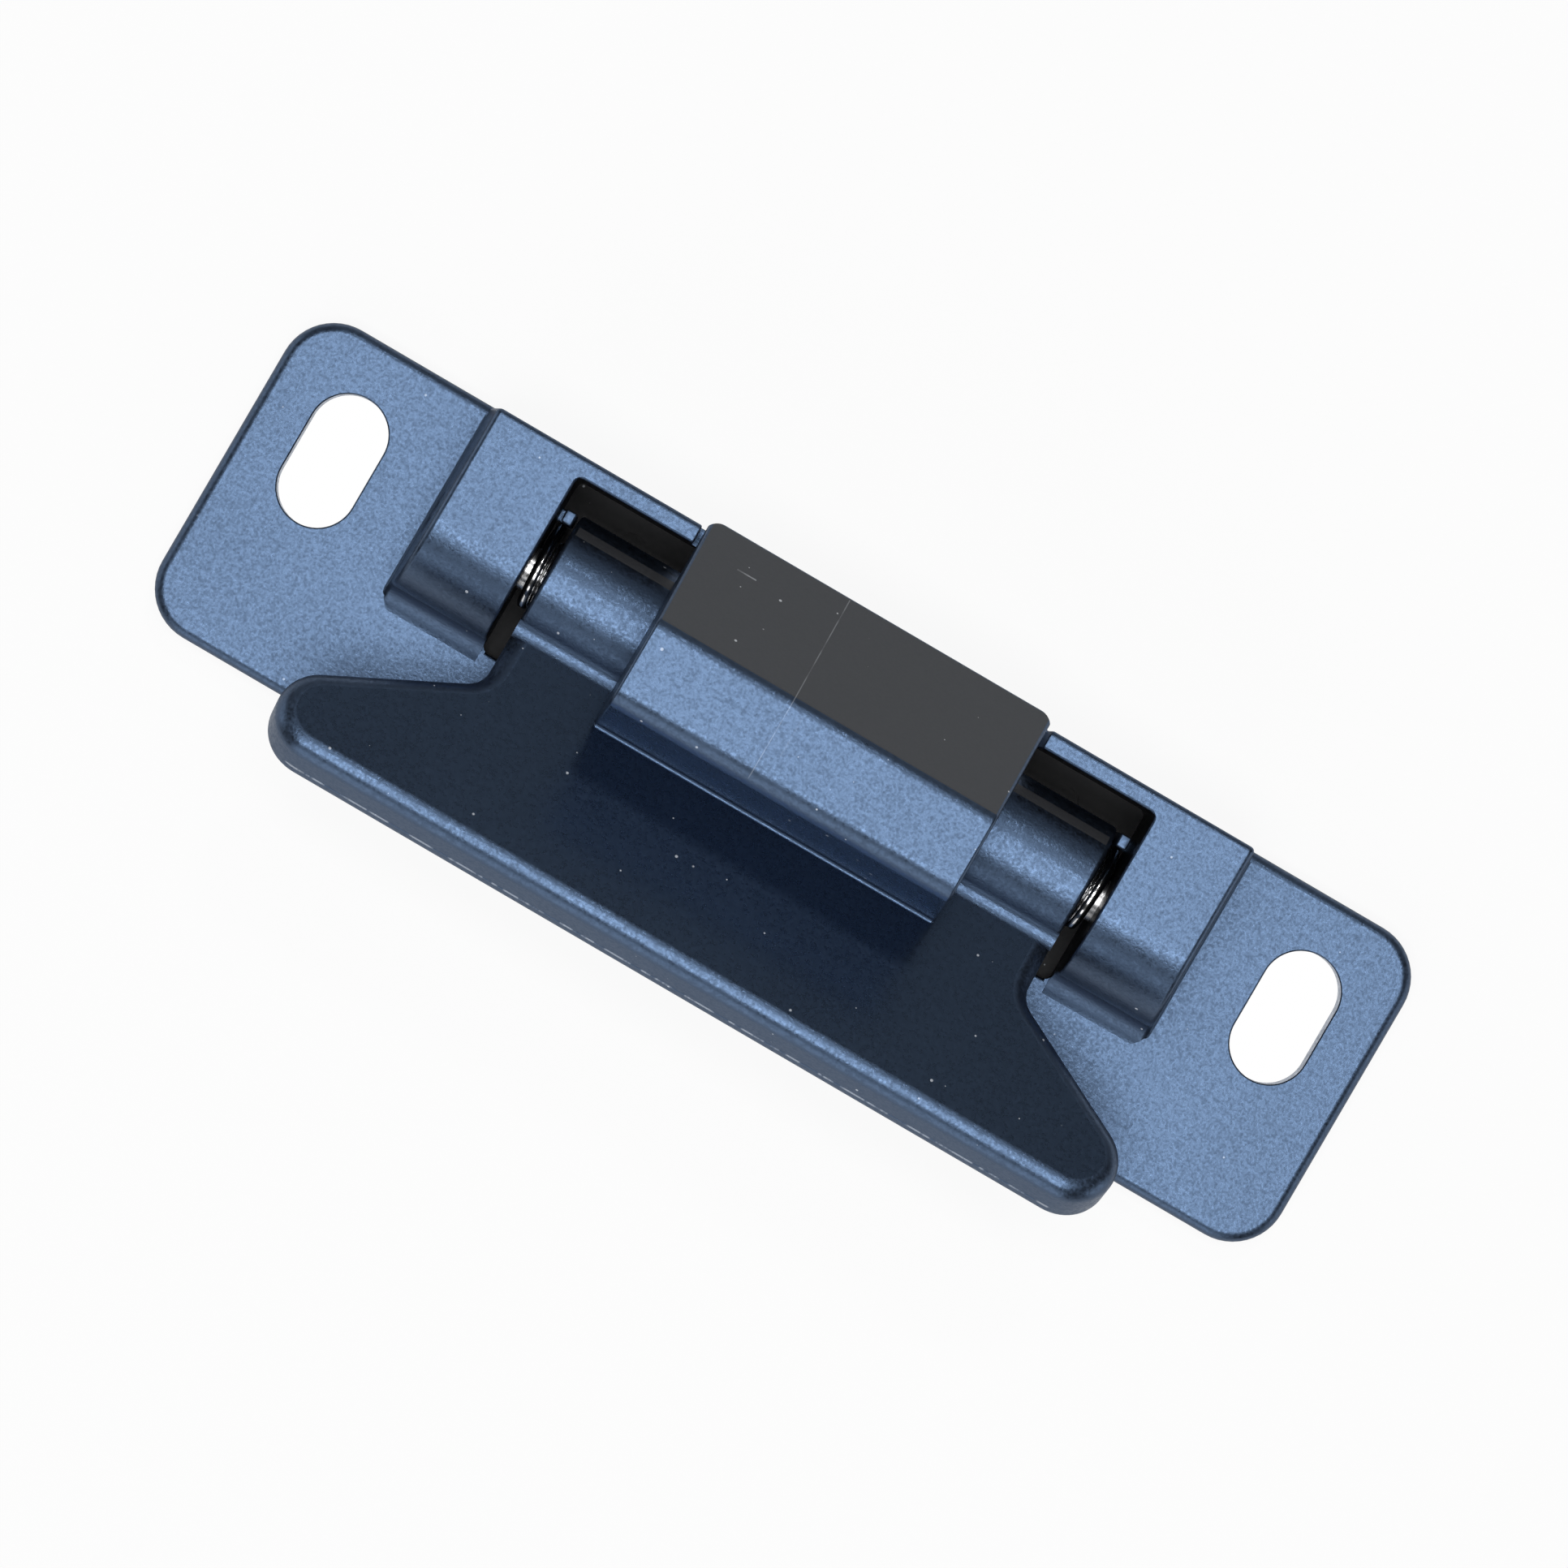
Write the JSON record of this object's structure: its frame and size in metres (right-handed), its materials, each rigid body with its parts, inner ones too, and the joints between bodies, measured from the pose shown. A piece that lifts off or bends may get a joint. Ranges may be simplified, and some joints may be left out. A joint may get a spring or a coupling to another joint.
{
  "type": "cabinet latch",
  "caption": "Sprung lever latch for a cabinet door: a moulded plate with screw slots carries a pivoting thumb paddle and claw that hooks over a strike.",
  "frame": {"origin": "midway between the two screw slots, on the mounting face", "axes": "+X along the plate, +Y towards the edge that the claw hooks over, +Z away from the door"},
  "size_m": [0.085, 0.0276, 0.0205],
  "materials": {
    "moulded_plastic": "fine satin texture",
    "pin_steel": "ground",
    "spring_steel": "drawn wire"
  },
  "bodies": {
    "base": {"base": "moulded_plastic", "pivot_pin": "pin_steel", "left_spring": "spring_steel", "right_spring": "spring_steel"},
    "lever": {"lever": "moulded_plastic"}
  },
  "joints": [
    {"name": "lever_pivot", "type": "hinge", "parent": "base", "child": "lever", "pos_m": [0, 0.0004, 0.0064], "axis": [1, 0, 0], "range_deg": [0, 28], "stiffness_Nm_per_rad": 0.1, "springref_deg": -28.65, "deforming": ["left_spring", "right_spring"]}
  ]
}
